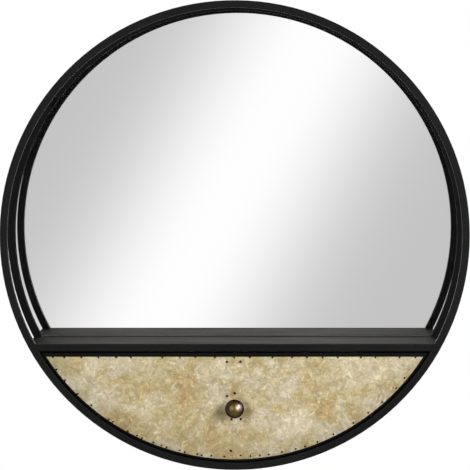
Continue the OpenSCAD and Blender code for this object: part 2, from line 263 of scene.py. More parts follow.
def turn(name: str, axis: Pair, profile: Sequence[Pair], steps: int) -> Piece:
    """Turns a profile about an axis to the wall, as on a lathe.

    Args:
        name: The name of the new piece.
        axis: x and z of the axis.
        profile: Points of radius and y, from pole to pole.
        steps: Number of steps round the axis.

    Returns:
        The closed, smoothed piece.
    """
    radius, y = profile[0]
    bpy.ops.mesh.primitive_plane_add(size=MM, location=(axis[0] + radius, y, axis[1]))
    piece = started(name)
    with editing(piece):
        bpy.ops.mesh.merge(type="CENTER")
        for (radius_a, y_a), (radius_b, y_b) in pairwise(profile):
            step = (radius_b - radius_a, y_b - y_a, 0.0)
            bpy.ops.mesh.extrude_vertices_move(TRANSFORM_OT_translate={"value": step})
        bpy.ops.mesh.select_all(action="SELECT")
        bpy.ops.mesh.spin(steps=steps, angle=math.tau, center=(axis[0], 0, axis[1]), axis=(0, 1, 0))
    smooth(piece)
    return piece


def arc(centre: Pair, radius: float, start: float, end: float, count: int) -> list[Pair]:
    """Arc of radius and y from angle to angle, in degrees: 0 points outwards, 90 to the front."""
    angles = [math.radians(start + (end - start) * k / (count - 1)) for k in range(count)]
    return [(centre[0] + radius * math.cos(a), centre[1] - radius * math.sin(a)) for a in angles]


def copied(name: str, master: Piece, places: Sequence[Matrix]) -> Piece:
    """Sets a copy of one piece at each place and joins the copies.

    Args:
        name: The name of the joined piece.
        master: The piece that is copied. It is used up.
        places: One transform for each copy.

    Returns:
        The joined piece.
    """
    copies = []
    for place in places:
        pick(master)
        bpy.ops.object.duplicate(linked=False)
        copy = bpy.context.object
        copy.matrix_world = place
        copies.append(copy)
    bpy.data.objects.remove(master)
    settle(*copies)
    bpy.ops.object.join()
    group = bpy.context.object
    group.name = group.data.name = name
    return group


def measures(box: Box) -> Triple:
    """y of a box's front and back, and the radius of a round piece in it."""
    return box[0].y, box[1].y, (box[1].x - box[0].x) / 2


def middle(box: Box) -> Pair:
    """x and z of the middle of a box."""
    return (box[0].x + box[1].x) / 2, (box[0].z + box[1].z) / 2


def solids(node: str) -> list[Box]:
    """Boxes of the separate solids in a CAD node, from left to right.

    Args:
        node: The name of the CAD node.

    Returns:
        The lowest and highest corner of each solid.
    """
    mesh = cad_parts[node].data
    places = [tuple(round(c, 6) for c in point.co) for point in mesh.vertices]
    owner = {place: place for place in places}

    def root(place: Triple) -> Triple:
        """Finds the point that stands for all points joined to one.

        Args:
            place: The place of the point.

        Returns:
            The place of the point that stands for it.
        """
        while owner[place] != place:
            owner[place] = owner[owner[place]]
            place = owner[place]
        return place

    for face in mesh.polygons:
        first = root(places[face.vertices[0]])
        for index in face.vertices[1:]:
            owner[root(places[index])] = first
    groups: dict[Triple, list[Triple]] = {}
    for place in owner:
        groups.setdefault(root(place), []).append(place)
    boxes = [
        (Vector(map(min, zip(*group))), Vector(map(max, zip(*group)))) for group in groups.values()
    ]
    return sorted(boxes, key=lambda box: tuple(box[0]))


# ---- Finishes ----


class NodeBench:
    """The nodes of a material or a world, added step by step."""

    def __init__(self, tree: bpy.types.NodeTree) -> None:
        """Starts on a tree of nodes."""
        self.nodes, self.links = tree.nodes, tree.links

    def add(self, kind: str, feeds: dict[int | str, Feed], **settings: object) -> bpy.types.Node:
        """Adds a node, sets its options and feeds its sockets.

        Args:
            kind: Type name of the node without its ShaderNode prefix.
            feeds: Values or sockets, by the input's name or number.
            settings: Options of the node.

        Returns:
            The new node.
        """
        node = self.nodes.new(f"ShaderNode{kind}")
        for option, value in settings.items():
            setattr(node, option, value)
        for key, value in feeds.items():
            self.feed(node.inputs[key], value)
        return node

    def feed(self, socket: Socket, value: Feed) -> None:
        """Links or sets one input.

        Args:
            socket: The input.
            value: A socket to link, or a number or colour to set.
        """
        if isinstance(value, Socket):
            self.links.new(value, socket)
        elif socket.type == "RGBA":
            socket.default_value = (*value, 1.0)
        else:
            socket.default_value = value

    def calc(self, operation: str, *values: Feed) -> Socket:
        """Result of a number operation."""
        return self.add("Math", dict(enumerate(values)), operation=operation).outputs[0]


class ShaderTree(NodeBench):
    """The nodes of one material. Its patterns follow Object coordinates."""

    def __init__(self, name: str, metallic: float, specular: float, roughness: float) -> None:
        """Starts a material with the values that are the same all over the surface.

        Args:
            name: The material's name.
            metallic: Metallic share of the shader.
            specular: Specular level of the shader.
            roughness: Roughness, where no pattern is linked to it.
        """
        self.material = bpy.data.materials.new(name)
        self.material.use_nodes = True
        super().__init__(self.material.node_tree)
        self.put("Metallic", metallic)
        self.put("Specular IOR Level", specular)
        self.put("Roughness", roughness)
        coordinates = self.add("TexCoord", {}).outputs
        self.place, self.normal = coordinates["Object"], coordinates["Normal"]
        self.facing = self.dot(self.normal, TO_VIEWER)
        self.flat = self.add("NewGeometry", {}).outputs["Normal"]

    def put(self, name: str, value: Feed) -> None:
        """Feeds an input of the shader."""
        self.feed(self.nodes["Principled BSDF"].inputs[name], value)

    def vector(self, operation: str, *values: Feed) -> Socket:
        """Vector that a vector operation gives."""
        return self.add("VectorMath", dict(enumerate(values)), operation=operation).outputs[0]

    def measure(self, operation: str, *values: Feed) -> Socket:
        """Number that a vector operation gives."""
        return self.add("VectorMath", dict(enumerate(values)), operation=operation).outputs[1]

    def dot(self, first: Feed, second: Feed) -> Socket:
        """Dot product of two vectors."""
        return self.measure("DOT_PRODUCT", first, second)

    def away(self, offset: Socket) -> Socket:
        """Length of an offset in the front view."""
        return self.measure("LENGTH", self.vector("MULTIPLY", offset, IN_FRONT_VIEW))

    def stretched(self, scale: Triple, source: Socket | None = None) -> Socket:
        """Coordinates stretched along each axis."""
        return self.add("Mapping", {0: source or self.place, "Scale": scale}).outputs[0]

    def noise(
        self, size: float, detail: float = 2.0, source: Socket | None = None, warp: float = 0.0
    ) -> Socket:
        """Soft noise from 0 to 1, in patches of a size in metres and octaves of finer detail."""
        feeds = {"Vector": source or self.place, "Scale": 1.0 / size, "Detail": detail}
        return self.add("TexNoise", {**feeds, "Distortion": warp}).outputs[0]

    def cells(self, size: float, source: Socket) -> Socket:
        """Random colour for each irregular cell of a size in metres."""
        return self.add("TexVoronoi", {"Vector": source, "Scale": 1.0 / size}).outputs["Color"]

    def strokes(self, size: Pair, source: Socket, cells: Socket) -> Socket:
        """Draws strokes, which lie in a direction of their own in each cell.

        Args:
            size: Length and width of a stroke, in metres.
            source: The coordinates.
            cells: Random colour of each cell.

        Returns:
            The strokes, from 0 to 1.
        """
        angle = self.dot(cells, (math.tau, 0.0, 0.0))
        feeds = {"Vector": source, "Axis": Axis.Y.unit(), "Angle": angle}
        turned = self.add("VectorRotate", feeds).outputs[0]
        scale = (1 / size[0], 1 / size[1], 1 / size[1])
        return self.noise(1.0, 3, self.stretched(scale, turned))

    def warped(self, size: float, reach: float) -> Socket:
        """Pushes the coordinates about by a noise.

        Args:
            size: Size of the noise's patches, in metres.
            reach: How far it pushes, in metres.

        Returns:
            The pushed coordinates.
        """
        noise = self.add("TexNoise", {"Vector": self.place, "Scale": 1.0 / size}).outputs[1]
        centred = self.vector("SUBTRACT", noise, MID_GREY)
        return self.vector("MULTIPLY_ADD", centred, (2 * reach,) * 3, self.place)

    def spread(
        self, value: Socket, low: float = 0.3, high: float = 0.7, to: Pair = (0.0, 1.0)
    ) -> Socket:
        """Maps the values from low to high onto another range, held at its ends."""
        feeds = {0: value, 1: low, 2: high, 3: to[0], 4: to[1]}
        return self.add("MapRange", feeds).outputs[0]

    def cloud(self, source: Socket, centre: Triple, reach: float) -> Socket:
        """Share of a round cloud in the front view, 1 in its middle and 0 beyond its reach."""
        away = self.away(self.vector("SUBTRACT", source, centre))
        return self.spread(away, 0.2 * reach, reach, (1.0, 0.0))

    def tones(self, value: Socket, stops: Sequence[tuple[float, Triple]]) -> Socket:
        """Colour ramp over a value.

        Args:
            value: The value from 0 to 1.
            stops: Places and their colours.

        Returns:
            The colour.
        """
        node = self.add("ValToRGB", {0: value})
        elements = node.color_ramp.elements
        while len(elements) < len(stops):
            elements.new(0.5)
        for element, (place, colour) in zip(elements, stops):
            element.position = place
            element.color = (*colour, 1.0)
        return node.outputs[0]

    def blend(self, share: Feed, first: Feed, second: Feed) -> Socket:
        """Mixes two colours. The share is that of the second."""
        return self.add("Mix", {0: share, 6: first, 7: second}, data_type="RGBA").outputs[2]

    def shaded(self, colour: Socket, factor: Socket) -> Socket:
        """A colour made lighter or darker by a factor."""
        return self.add("VectorMath", {0: colour, "Scale": factor}, operation="SCALE").outputs[0]

    def soft_edges(self, radius: float) -> Socket:
        """Normals rounded over the edges, by a radius in metres."""
        return self.add("Bevel", {"Radius": radius}, samples=6).outputs[0]

    def relief(self, height: Socket, depth: float, normal: Socket | None = None) -> Socket:
        """Normal with a fine relief. A height of 1 is the depth, in metres."""
        feeds = {"Strength": 1.0, "Distance": depth, "Height": height}
        return self.add("Bump", feeds | ({"Normal": normal} if normal else {})).outputs[0]

    def finish(self, colour: Feed, roughness: Socket, normal: Socket) -> None:
        """Feeds the shader.

        Args:
            colour: Base colour.
            roughness: Roughness pattern.
            normal: Normal with the relief.
        """
        self.put("Base Color", colour)
        self.put("Roughness", roughness)
        self.put("Normal", normal)


@dataclass(frozen=True)
class Finish:
    """A surface finish.

    Its base holds the shader's metallic share, specular level and roughness. They apply where
    no pattern is linked to them.
    """

    name: str
    base: ClassVar[Triple]

    def material(self) -> bpy.types.Material:
        """Gives the finish's material, which is made at its first use.

        Returns:
            The material.
        """
        material = bpy.data.materials.get(self.name)
        if material is None:
            tree = ShaderTree(self.name, *self.base)
            self.draw(tree)
            material = tree.material
        return material

    def draw(self, tree: ShaderTree) -> None:
        """Draws the patterns on a new tree."""
        raise NotImplementedError


@dataclass(frozen=True)
class BlackCoat(Finish):
    """Black coat on steel or board, with a tone of its own along its edges.

    The edge tone is partly abrasion of the coat and partly painted light: a painted highlight on
    most coats and a painted shade line along the bar. Front faces get only a share of it. Its
    patches have a size of their own, and drift is the size of the duller ones along each axis.
    Streak is how much these change the sheen.
    Between the two ends, measured from the middle along X, the coat grows darker, down to the
    dimmed share.
    """

    base: ClassVar[Triple] = (0.0, 0.075, 0.5)
    tone: Triple = (0.0050, 0.0049, 0.0048)
    dusty: Triple = (0.0080, 0.0078, 0.0076)
    # Edge tone: partly abrasion, partly a painted edge highlight. The bar sets it darker, as a
    # painted shade line.
    edge_abrasion_and_painted_light: Triple = (0.044, 0.043, 0.042)
    front_share: float = 0.4
    gloss: Pair = (0.48, 0.60)
    sheen: float = 0.075
    abrasion_and_light_patch: float = 9 * MM
    drift: Triple = (70 * MM, 70 * MM, 70 * MM)
    streak: float = 0.0
    ends: Pair = (1.0, 2.0)
    dimmed: float = 0.35
    peel: float = 1.1 * MM
    peel_depth: float = 0.02 * MM
    edge: float = 0.7 * MM
    edge_bend: Pair = (0.999, 0.93)

    def draw(self, tree: ShaderTree) -> None:
        """Draws the patterns.

        Args:
            tree: The material's nodes.
        """
        rounded = tree.soft_edges(self.edge)
        near_edge = tree.spread(tree.dot(rounded, tree.flat), *self.edge_bend)
        drift = tree.noise(1.0, 4, tree.stretched(tuple(1 / size for size in self.drift)))
        # Mask of the edge tone: abrasion and painted edge light.
        abrasion_and_painted_light = tree.calc("MULTIPLY", near_edge, tree.spread(tree.noise(self.abrasion_and_light_patch, 4), 0.4, 0.65))
        front = tree.spread(tree.facing, 0.5, 0.9, (1.0, self.front_share))
        colour = tree.blend(tree.spread(drift, 0.4, 0.7), self.tone, self.dusty)
        colour = tree.blend(tree.calc("MULTIPLY", abrasion_and_painted_light, front), colour, self.edge_abrasion_and_painted_light)
        across = tree.calc("ABSOLUTE", tree.dot(tree.place, Axis.X.unit()))
        dim = tree.spread(across, *self.ends, (1.0, self.dimmed))
        sheens = self.sheen * (1 - self.streak), self.sheen * (1 + self.streak)
        shine = tree.calc("MULTIPLY", tree.spread(drift, 0.35, 0.65, sheens), dim)
        tree.put("Specular IOR Level", shine)
        peel = tree.relief(tree.noise(self.peel, 1), self.peel_depth, rounded)
        rough = tree.spread(drift, 0.35, 0.65, self.gloss)
        tree.finish(tree.shaded(colour, dim), rough, peel)


@dataclass(frozen=True)
class GiltSheet(Finish):
    """Pale gold wash on galvanised sheet: feathery crystals, bright flecks painted as glints and a
    drifting tint.

    Each cloud has a middle, a reach and a share by which it moves the tint towards the paler
    tones. The sheet grows darker towards its curved edge, between two distances from the middle.
    The knob's two shadows are painted on the sheet beside it, and each has a middle and a share.
    Drift, swirl, lively and speckle are the sizes of the patches that each of these patterns
    comes in.
    """

    base: ClassVar[Triple] = (0.05, 0.25, 0.45)
    tones: tuple[tuple[float, Triple], ...] = (
        (0.34, (0.425, 0.308, 0.146)),
        (0.43, (0.418, 0.338, 0.170)),
        (0.50, (0.470, 0.386, 0.220)),
        (0.57, (0.495, 0.420, 0.281)),
        (0.68, (0.570, 0.496, 0.342)),
    )
    # Colour of the bright flecks, which are painted glints of the crystals.
    painted_glint: Triple = (0.80, 0.72, 0.53)
    speck: Triple = (0.27, 0.21, 0.11)
    crystal: float = 12 * MM
    stroke: Pair = (9 * MM, 3.2 * MM)
    bend: Pair = (14 * MM, 6 * MM)
    drift: float = 34 * MM
    swirl: float = 6 * MM
    lively: float = 22 * MM
    speckle: float = 3.2 * MM
    depth: float = 0.25 * MM
    tilt: float = 0.12
    clouds: tuple[tuple[Triple, float, float], ...] = (
        ((-76 * MM, 0.0, -212 * MM), 42 * MM, -0.18),
        ((-150 * MM, 0.0, -180 * MM), 45 * MM, -0.05),
        ((76 * MM, 0.0, -236 * MM), 30 * MM, 0.16),
        ((140 * MM, 0.0, -185 * MM), 55 * MM, 0.09),
        ((-6 * MM, 0.0, -284 * MM), 52 * MM, -0.15),
    )
    # The sheet grows darker towards its curved edge, between these distances from the middle.
    rim_darkening: Pair = (262 * MM, 298 * MM)
    rim_darkest_share: float = 0.76
    # Painted shadows of the knob on the sheet: the left one from the key lamp, the right one from
    # the fill lamp.
    painted_knob_shadow: Triple = (0.17, 0.120, 0.035)
    knob_shadows_at: tuple[tuple[Triple, float], ...] = (
        ((-19 * MM, 0.0, -230 * MM), 0.62),
        ((15.5 * MM, 0.0, -228 * MM), 0.46),
    )
    knob_shadow_reach: float = 12 * MM

    def draw(self, tree: ShaderTree) -> None:
        """Draws the patterns.

        Args:
            tree: The material's nodes.
        """
        bent = tree.warped(*self.bend)
        tint = tree.noise(self.drift, 3, warp=0.7)
        for centre, reach, share in self.clouds:
            tint = tree.calc("MULTIPLY_ADD", tree.cloud(bent, centre, reach), share, tint)
        crystals = tree.cells(self.crystal, bent)
        strokes = tree.strokes(self.stroke, bent, crystals)
        swirl = tree.noise(self.swirl, 4, bent, 1.2)
        lively = tree.spread(tree.noise(self.lively, 2), 0.35, 0.6, (0.35, 1.0))
        mild = tree.calc("SUBTRACT", 1.0, lively)
        stroked = tree.calc("MULTIPLY_ADD", tree.spread(strokes, to=(0.74, 1.24)), lively, mild)
        shade = tree.calc("MULTIPLY", tree.spread(swirl, 0.28, 0.72, (0.76, 1.24)), stroked)
        # Darker towards the sheet's curved edge.
        rim = tree.calc("MULTIPLY_ADD", swirl, 9 * MM, tree.away(tree.place))
        shade = tree.calc("MULTIPLY", shade, tree.spread(rim, *self.rim_darkening, (1.0, self.rim_darkest_share)))
        colour = tree.shaded(tree.tones(tint, self.tones), shade)
        # Bright flecks along the strokes: painted glints of the crystals.
        lit = tree.calc("MULTIPLY", tree.spread(strokes, 0.6, 0.76, (0.0, 0.7)), lively)
        colour = tree.blend(lit, colour, self.painted_glint)
        # Paints the knob's two shadows onto the sheet.
        for centre, share in self.knob_shadows_at:
            knob_shadow_share = tree.cloud(tree.place, centre, self.knob_shadow_reach)
            colour = tree.blend(tree.calc("MULTIPLY", knob_shadow_share, share), colour, self.painted_knob_shadow)
        dark = tree.spread(tree.noise(self.speckle, 1), 0.74, 0.82, (0.0, 0.6))
        colour = tree.blend(dark, colour, self.speck)
        lean = tree.vector("SUBTRACT", crystals, MID_GREY)
        facets = tree.vector("MULTIPLY_ADD", lean, (self.tilt,) * 3, tree.flat)
        relief = tree.relief(swirl, self.depth, tree.vector("NORMALIZE", facets))
        tree.finish(colour, tree.spread(strokes, to=(0.38, 0.52)), relief)


@dataclass(frozen=True)
class ForgedIron(Finish):
    """Brown-black iron of the tacks, with scuffed crowns."""

    base: ClassVar[Triple] = (0.4, 0.15, 0.5)
    black: Triple = (0.009, 0.007, 0.004)
    brown: Triple = (0.040, 0.028, 0.012)
    patch: float = 1.4 * MM
    depth: float = 0.05 * MM
    gloss: Pair = (0.4, 0.6)

    def draw(self, tree: ShaderTree) -> None:
        """Draws the patterns.

        Args:
            tree: The material's nodes.
        """
        patches = tree.noise(self.patch, 3)
        colour = tree.blend(tree.spread(patches, 0.45), self.black, self.brown)
        relief = tree.relief(tree.noise(self.patch / 2, 2), self.depth)
        tree.finish(colour, tree.spread(patches, to=self.gloss), relief)


@dataclass(frozen=True)
class SilveredGlass(Finish):
    """Mirror glass: silver in front, green cut edges and grey paint behind.

    It leans a little on its soft gasket, which turns what it shows.
    """

    base: ClassVar[Triple] = (0.0, 0.5, 0.0)
    silver: Triple = (0.985, 0.99, 0.985)
    edge: Triple = (0.10, 0.20, 0.16)
    paint: Triple = (0.16, 0.17, 0.18)
    thin_paint: Triple = (0.21, 0.22, 0.235)
    lean: Triple = (0.001, 0.0, -0.0096)
    mottled: float = 12 * MM

    def draw(self, tree: ShaderTree) -> None:
        """Draws the patterns.

        Args:
            tree: The material's nodes.
        """
        front = tree.spread(tree.facing, 0.9, 0.95)
        behind = tree.spread(tree.facing, -0.9, -0.95)
        mottle = tree.spread(tree.noise(self.mottled, 4))
        rest = tree.blend(behind, self.edge, tree.blend(mottle, self.paint, self.thin_paint))
        tree.put("Metallic", front)
        leaning = tree.vector("NORMALIZE", tree.vector("ADD", tree.flat, self.lean))
        rough = tree.spread(front, 0, 1, (0.4, 0))
        tree.finish(tree.blend(front, rest, self.silver), rough, leaning)


@dataclass(frozen=True)
class AntiqueBronze(Finish):
    """Bronze with a dark patina, polished to olive brass where fingers touch it.

    It is made for a ball. Bare and aged metal each have two colours, in mottles of their own
    size. The patina comes in between two shares of the radius, and the rosy colour goes out
    between two others, measured from the middle of its patch. That patch is partly polish and
    partly a painted highlight: it sits where the side lamp's highlight falls and tints it rosy.
    Ragged is how uneven the edges of both are.
    """

    base: ClassVar[Triple] = (1.0, 0.5, 0.3)
    centre: Triple
    radius: float
    patina: Pair = (0.3, 0.75)
    polish_and_highlight_at: Triple = (6.0 * MM, -9.8 * MM, 3.2 * MM)
    abrasion_and_painted_light: Pair = (0.05, 0.4)
    patch: float = 5 * MM
    ragged: Pair = (4 * MM, 3 * MM)
    mottles: Pair = (3 * MM, 8 * MM)
    pit: float = 1.2 * MM
    pit_depth: float = 0.03 * MM
    bare: tuple[Triple, Triple] = ((0.098, 0.074, 0.020), (0.145, 0.108, 0.031))
    aged: tuple[Triple, Triple] = ((0.034, 0.024, 0.017), (0.11, 0.080, 0.074))
    # Rosy patch colour: partly polish, partly a painted highlight tint where the side lamp's
    # highlight falls.
    rosy: Triple = (0.34, 0.27, 0.235)
    rim: Triple = (0.10, 0.08, 0.06)

    def draw(self, tree: ShaderTree) -> None:
        """Draws the patterns.

        Args:
            tree: The material's nodes.
        """
        tree.put("Specular Tint", self.rim)
        offset = tree.vector("SUBTRACT", tree.place, self.centre)
        patches = tree.noise(self.patch, 4, warp=0.5)
        reach = tree.calc("MULTIPLY_ADD", patches, -self.ragged[0], tree.away(offset))
        patina = tree.spread(reach, *(share * self.radius for share in self.patina))
        bare = tree.blend(tree.spread(tree.noise(self.mottles[0], 3), 0.35, 0.65), *self.bare)
        aged = tree.blend(tree.spread(tree.noise(self.mottles[1], 2), 0.4, 0.6), *self.aged)
        # Distance from the rosy patch, which is polish and a painted highlight tint.
        abrasion_and_painted_light = tree.measure("DISTANCE", offset, self.polish_and_highlight_at)
        abrasion_and_painted_light = tree.calc("MULTIPLY_ADD", patches, -self.ragged[1], abrasion_and_painted_light)
        rosy_share = tree.spread(abrasion_and_painted_light, *(share * self.radius for share in self.abrasion_and_painted_light), (0.9, 0.0))
        relief = tree.relief(tree.noise(self.pit, 3), self.pit_depth)
        colour = tree.blend(rosy_share, tree.blend(patina, bare, aged), self.rosy)
        tree.finish(colour, tree.spread(patches, to=(0.36, 0.50)), relief)


@dataclass(frozen=True)
class Plywood(Finish):
    """Birch plywood: long grain on its faces and layers on its cut edges."""

    base: ClassVar[Triple] = (0.0, 0.35, 0.55)
    grain: Axis
    layers: Axis
    light: Triple = (0.60, 0.44, 0.27)
    dark: Triple = (0.43, 0.29, 0.16)
    core: Triple = (0.24, 0.14, 0.075)
    layer: float = 1.4 * MM
    fibre_scale: Pair = (6.0, 150.0)
    depth: float = 0.08 * MM
    edge: float = 0.5 * MM

    def draw(self, tree: ShaderTree) -> None:
        """Draws the patterns.

        Args:
            tree: The material's nodes.
        """
        along, across = self.fibre_scale
        scale = tuple(along if k == self.grain.value else across for k in range(3))
        fibres = tree.noise(1.0, 5, tree.stretched(scale), 0.6)
        wood = tree.blend(tree.spread(fibres, 0.35, 0.68), self.light, self.dark)
        stripe = tree.calc("PINGPONG", tree.dot(tree.place, self.layers.unit()), self.layer)
        core = tree.spread(stripe, 0.45 * self.layer, 0.55 * self.layer)
        on_face = tree.calc("ABSOLUTE", tree.dot(tree.normal, self.layers.unit()))
        cut = tree.calc("MULTIPLY", tree.spread(on_face, 0.6, 0.4), core)
        colour = tree.blend(cut, wood, tree.blend(0.7, wood, self.core))
        relief = tree.relief(fibres, self.depth, tree.soft_edges(self.edge))
        tree.finish(colour, tree.spread(fibres, to=(0.48, 0.66)), relief)


@dataclass(frozen=True)
class ZincPlate(Finish):
    """Zinc-plated steel with a drawn grain and a light bloom."""

    base: ClassVar[Triple] = (0.9, 0.5, 0.38)
    bright: Triple = (0.58, 0.59, 0.61)
    dull: Triple = (0.36, 0.37, 0.385)
    drawn: Triple = (30.0, 900.0, 900.0)
    bloom: float = 11 * MM
    depth: float = 0.02 * MM
    edge: float = 0.3 * MM

    def draw(self, tree: ShaderTree) -> None:
        """Draws the patterns.

        Args:
            tree: The material's nodes.
        """
        bloom = tree.noise(self.bloom, 4)
        lines = tree.noise(1.0, 3, tree.stretched(self.drawn))
        colour = tree.blend(tree.spread(bloom, 0.38, 0.68), self.bright, self.dull)
        relief = tree.relief(lines, self.depth, tree.soft_edges(self.edge))
        tree.finish(colour, tree.spread(bloom, to=(0.3, 0.5)), relief)


@dataclass(frozen=True)
class SoftStuff(Finish):
    """Rubber, foam, fibre board or slip tape: a grained dull surface.

    Wide is the size of its patches, in grains.
    """

    base: ClassVar[Triple] = (0.0, 0.35, 0.7)
    tone: Triple
    other: Triple
    grain: float
    depth: float
    gloss: Pair
    wide: float = 14.0
    edge: float = 0.4 * MM

    def draw(self, tree: ShaderTree) -> None:
        """Draws the patterns.

        Args:
            tree: The material's nodes.
        """
        grain = tree.noise(self.grain, 4)
        fine = tree.spread(grain, 0.35, 0.65, (0.0, 0.6))
        wide = tree.spread(tree.noise(self.wide * self.grain, 2), to=(0.0, 0.4))
        colour = tree.blend(tree.calc("ADD", fine, wide), self.tone, self.other)
        relief = tree.relief(grain, self.depth, tree.soft_edges(self.edge))
        tree.finish(colour, tree.spread(grain, to=self.gloss), relief)


POWDER = BlackCoat("powder_coated_steel")
WIPED = BlackCoat(
    "wiped_shelf_steel",
    tone=(0.0110, 0.0082, 0.0055),
    dusty=(0.0320, 0.0240, 0.0160),
    edge_abrasion_and_painted_light=(0.015, 0.014, 0.013),
    gloss=(0.50, 0.47),
    sheen=0.074,
    drift=(110 * MM, 11 * MM, 11 * MM),
    streak=0.45,
    ends=(165 * MM, 250 * MM),
)
# The bar's edge tone is darker than its face: a painted shade line along its edges.
BAR = BlackCoat("powder_coated_bar", edge_abrasion_and_painted_light=(0.002, 0.002, 0.002), edge=0.5 * MM)
# Rear ring: lower sheen for a matt coat, and a darker tone that paints the shade the front hoop
# casts on it. Its light edge tone paints a highlight line along the flange's inner edge.
REAR_COAT_WITH_PAINTED_SHADE = BlackCoat(
    "rear_steel_matt_and_painted_shade", tone=(0.0025,) * 3, dusty=(0.0040,) * 3, edge_abrasion_and_painted_light=(0.080,) * 3, sheen=0.05
)
BOARD = BlackCoat(
    "black_stained_board",
    tone=(0.0028, 0.0027, 0.0026),
    dusty=(0.0045, 0.0044, 0.0043),
    edge_abrasion_and_painted_light=(0.009, 0.008, 0.007),
    gloss=(0.55, 0.7),
    sheen=0.05,
)
GILT = GiltSheet("gilt_galvanised_sheet")
IRON = ForgedIron("forged_tack_iron")
SILVER = SilveredGlass("silvered_mirror_glass")
ZINC = ZincPlate("zinc_plated_steel")
RUBBER = SoftStuff("black_rubber", (0.016,) * 3, (0.030,) * 3, 0.8 * MM, 0.03 * MM, (0.6, 0.8))
FOAM = SoftStuff("closed_cell_foam", (0.010,) * 3, (0.024,) * 3, 0.5 * MM, 0.15 * MM, (0.8, 0.95))
FIBRE = SoftStuff(
    "fibre_board", (0.25, 0.155, 0.085), (0.38, 0.26, 0.16), 0.9 * MM, 0.05 * MM, (0.6, 0.8)
)
TAPE = SoftStuff(
    "slip_tape", (0.66, 0.66, 0.63), (0.76, 0.76, 0.74), 1.5 * MM, 0.01 * MM, (0.3, 0.4)
)
PLY_SIDE = Plywood("plywood_side", Axis.Y, Axis.X)
PLY_FRONT = Plywood("plywood_front", Axis.X, Axis.Y)
PLY_FLOOR = Plywood("plywood_floor", Axis.X, Axis.Z)


# ---- Sub-assemblies ----


@dataclass
class SubAssembly:
    """What every sub-assembly can do with its pieces."""

    body: Body

    def dress(self, finish: Finish, *nodes: str) -> None:
        """Gives some CAD pieces a finish.

        Args:
            finish: The finish.
            nodes: Names of the CAD nodes.
        """
        for node in nodes:
            for material_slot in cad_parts[node].material_slots:
                material_slot.material = finish.material()
            log.info("%s: %s", node, finish.name)

    def hand_over(self, piece: Piece, finish: Finish, slot: Slot, *stands_for: str) -> None:
        """Finishes a new piece and lets it ride on its body.

        Args:
            piece: The new piece.
            finish: Its finish.
            slot: Not used.
            stands_for: CAD nodes that it replaces.
        """
        piece.data.materials.clear()
        piece.data.materials.append(finish.material())
        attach(piece, self.body.value)
        if stands_for:
            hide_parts(*stands_for)
        log.info("%s: %s, %d faces", piece.name, finish.name, len(piece.data.polygons))

    def stand_in(
        self, name: str, node: str, model: Callable[[Box], Piece], finish: Finish, slot: Slot
    ) -> None:
        """Sets a copy of a new piece in place of each solid of a CAD node.

        Args:
            name: The name of the joined copies.
            node: The CAD node.
            model: Models the new piece on the axis x = z = 0, from a solid's box.
            finish: Finish of the copies.
            slot: The record's slot, passed on to hand_over.
        """
        boxes = solids(node)
        places = [Matrix.Translation((x, 0, z)) for x, z in map(middle, boxes)]
        self.hand_over(copied(name, model(boxes[0]), places), finish, slot, node)


@dataclass
class WeldBead:
    """A fillet weld laid in short steps, with troughs between them and tapered ends."""

    length: float
    radius: float = 1.6 * MM
    step: float = 1.5 * MM
    sides: int = 10
    trough: float = 0.82
    end: float = 0.45

    def model(self) -> Piece:
        """Models the bead along X about the origin.

        Returns:
            The bead.
        """
        bpy.ops.mesh.primitive_cylinder_add(
            vertices=self.sides, radius=self.radius, depth=self.length, rotation=(0, math.pi / 2, 0)
        )
        bead = started("weld_bead")
        count = round(self.length / self.step)
        cuts = [self.length * (k / (2 * count) - 0.5) for k in range(1, 2 * count)]
        near = 0.01 * MM
        with editing(bead):
            for x in cuts:
                bpy.ops.mesh.select_all(action="SELECT")
                bpy.ops.mesh.bisect(plane_co=(x, 0, 0), plane_no=(1, 0, 0))
            mark_points(bead, lambda co: any(abs(co.x - x) < near for x in cuts[1::2]))
            self._squeeze(self.trough)
            mark_points(bead, lambda co: abs(co.x) > self.length / 2 - near)
            self._squeeze(self.end)
        smooth(bead, degrees=60)
        return bead

    def _squeeze(self, share: float) -> None:
        """Brings the selected rings nearer to the axis."""
        bpy.ops.transform.resize(value=(1, share, share), center_override=(0, 0, 0))


@dataclass
class CrossScrew:
    """Pan-head screw with a cross recess. Its head points to the wall."""

    head_height: float
    shank_radius: float
    arm: float = 1.1 * MM
    arm_width: float = 0.7 * MM
    recess: float = 0.55
    steps: int = 28

    def model(self, box: Box) -> Piece:
        """Models the screw on the axis x = z = 0.

        Args:
            box: Box of the CAD screw, whose radius and y it takes.

        Returns:
            The screw.
        """
        tip, crown, radius = measures(box)
        under = crown - self.head_height
        rise = 0.45 * self.head_height
        shoulder = crown - rise
        profile = [
            (0.0, tip),
            (0.6 * self.shank_radius, tip + 0.1 * MM),
            (self.shank_radius, tip + 0.6 * MM),
            (self.shank_radius, under),
            (0.94 * radius, under),
            (radius, under + 0.15 * MM),
            (radius, shoulder),
            (0.93 * radius, shoulder + 0.5 * rise),
            (0.72 * radius, crown - 0.08 * rise),
            (0.45 * radius, crown),
            (0.0, crown),
        ]
        screw = turn("cross_screw", (0.0, 0.0), profile, self.steps)
        bpy.ops.mesh.primitive_cube_add(size=self.arm_width, location=(0, crown, 0))
        cutter = started("cross_cutter")
        depth = 2 * self.head_height / self.arm_width * self.recess
        with editing(cutter):
            mark_faces(cutter, lambda normal: abs(normal.y) < 0.5)
            bpy.ops.mesh.extrude_faces_move(TRANSFORM_OT_shrink_fatten={"value": self.arm})
            mark_points(cutter, lambda co: True)
            bpy.ops.transform.resize(value=(1, depth, 1), center_override=(0, crown, 0))
            bpy.ops.mesh.normals_make_consistent(inside=False)
        cut_away(screw, cutter)
        smooth(screw)
        return screw


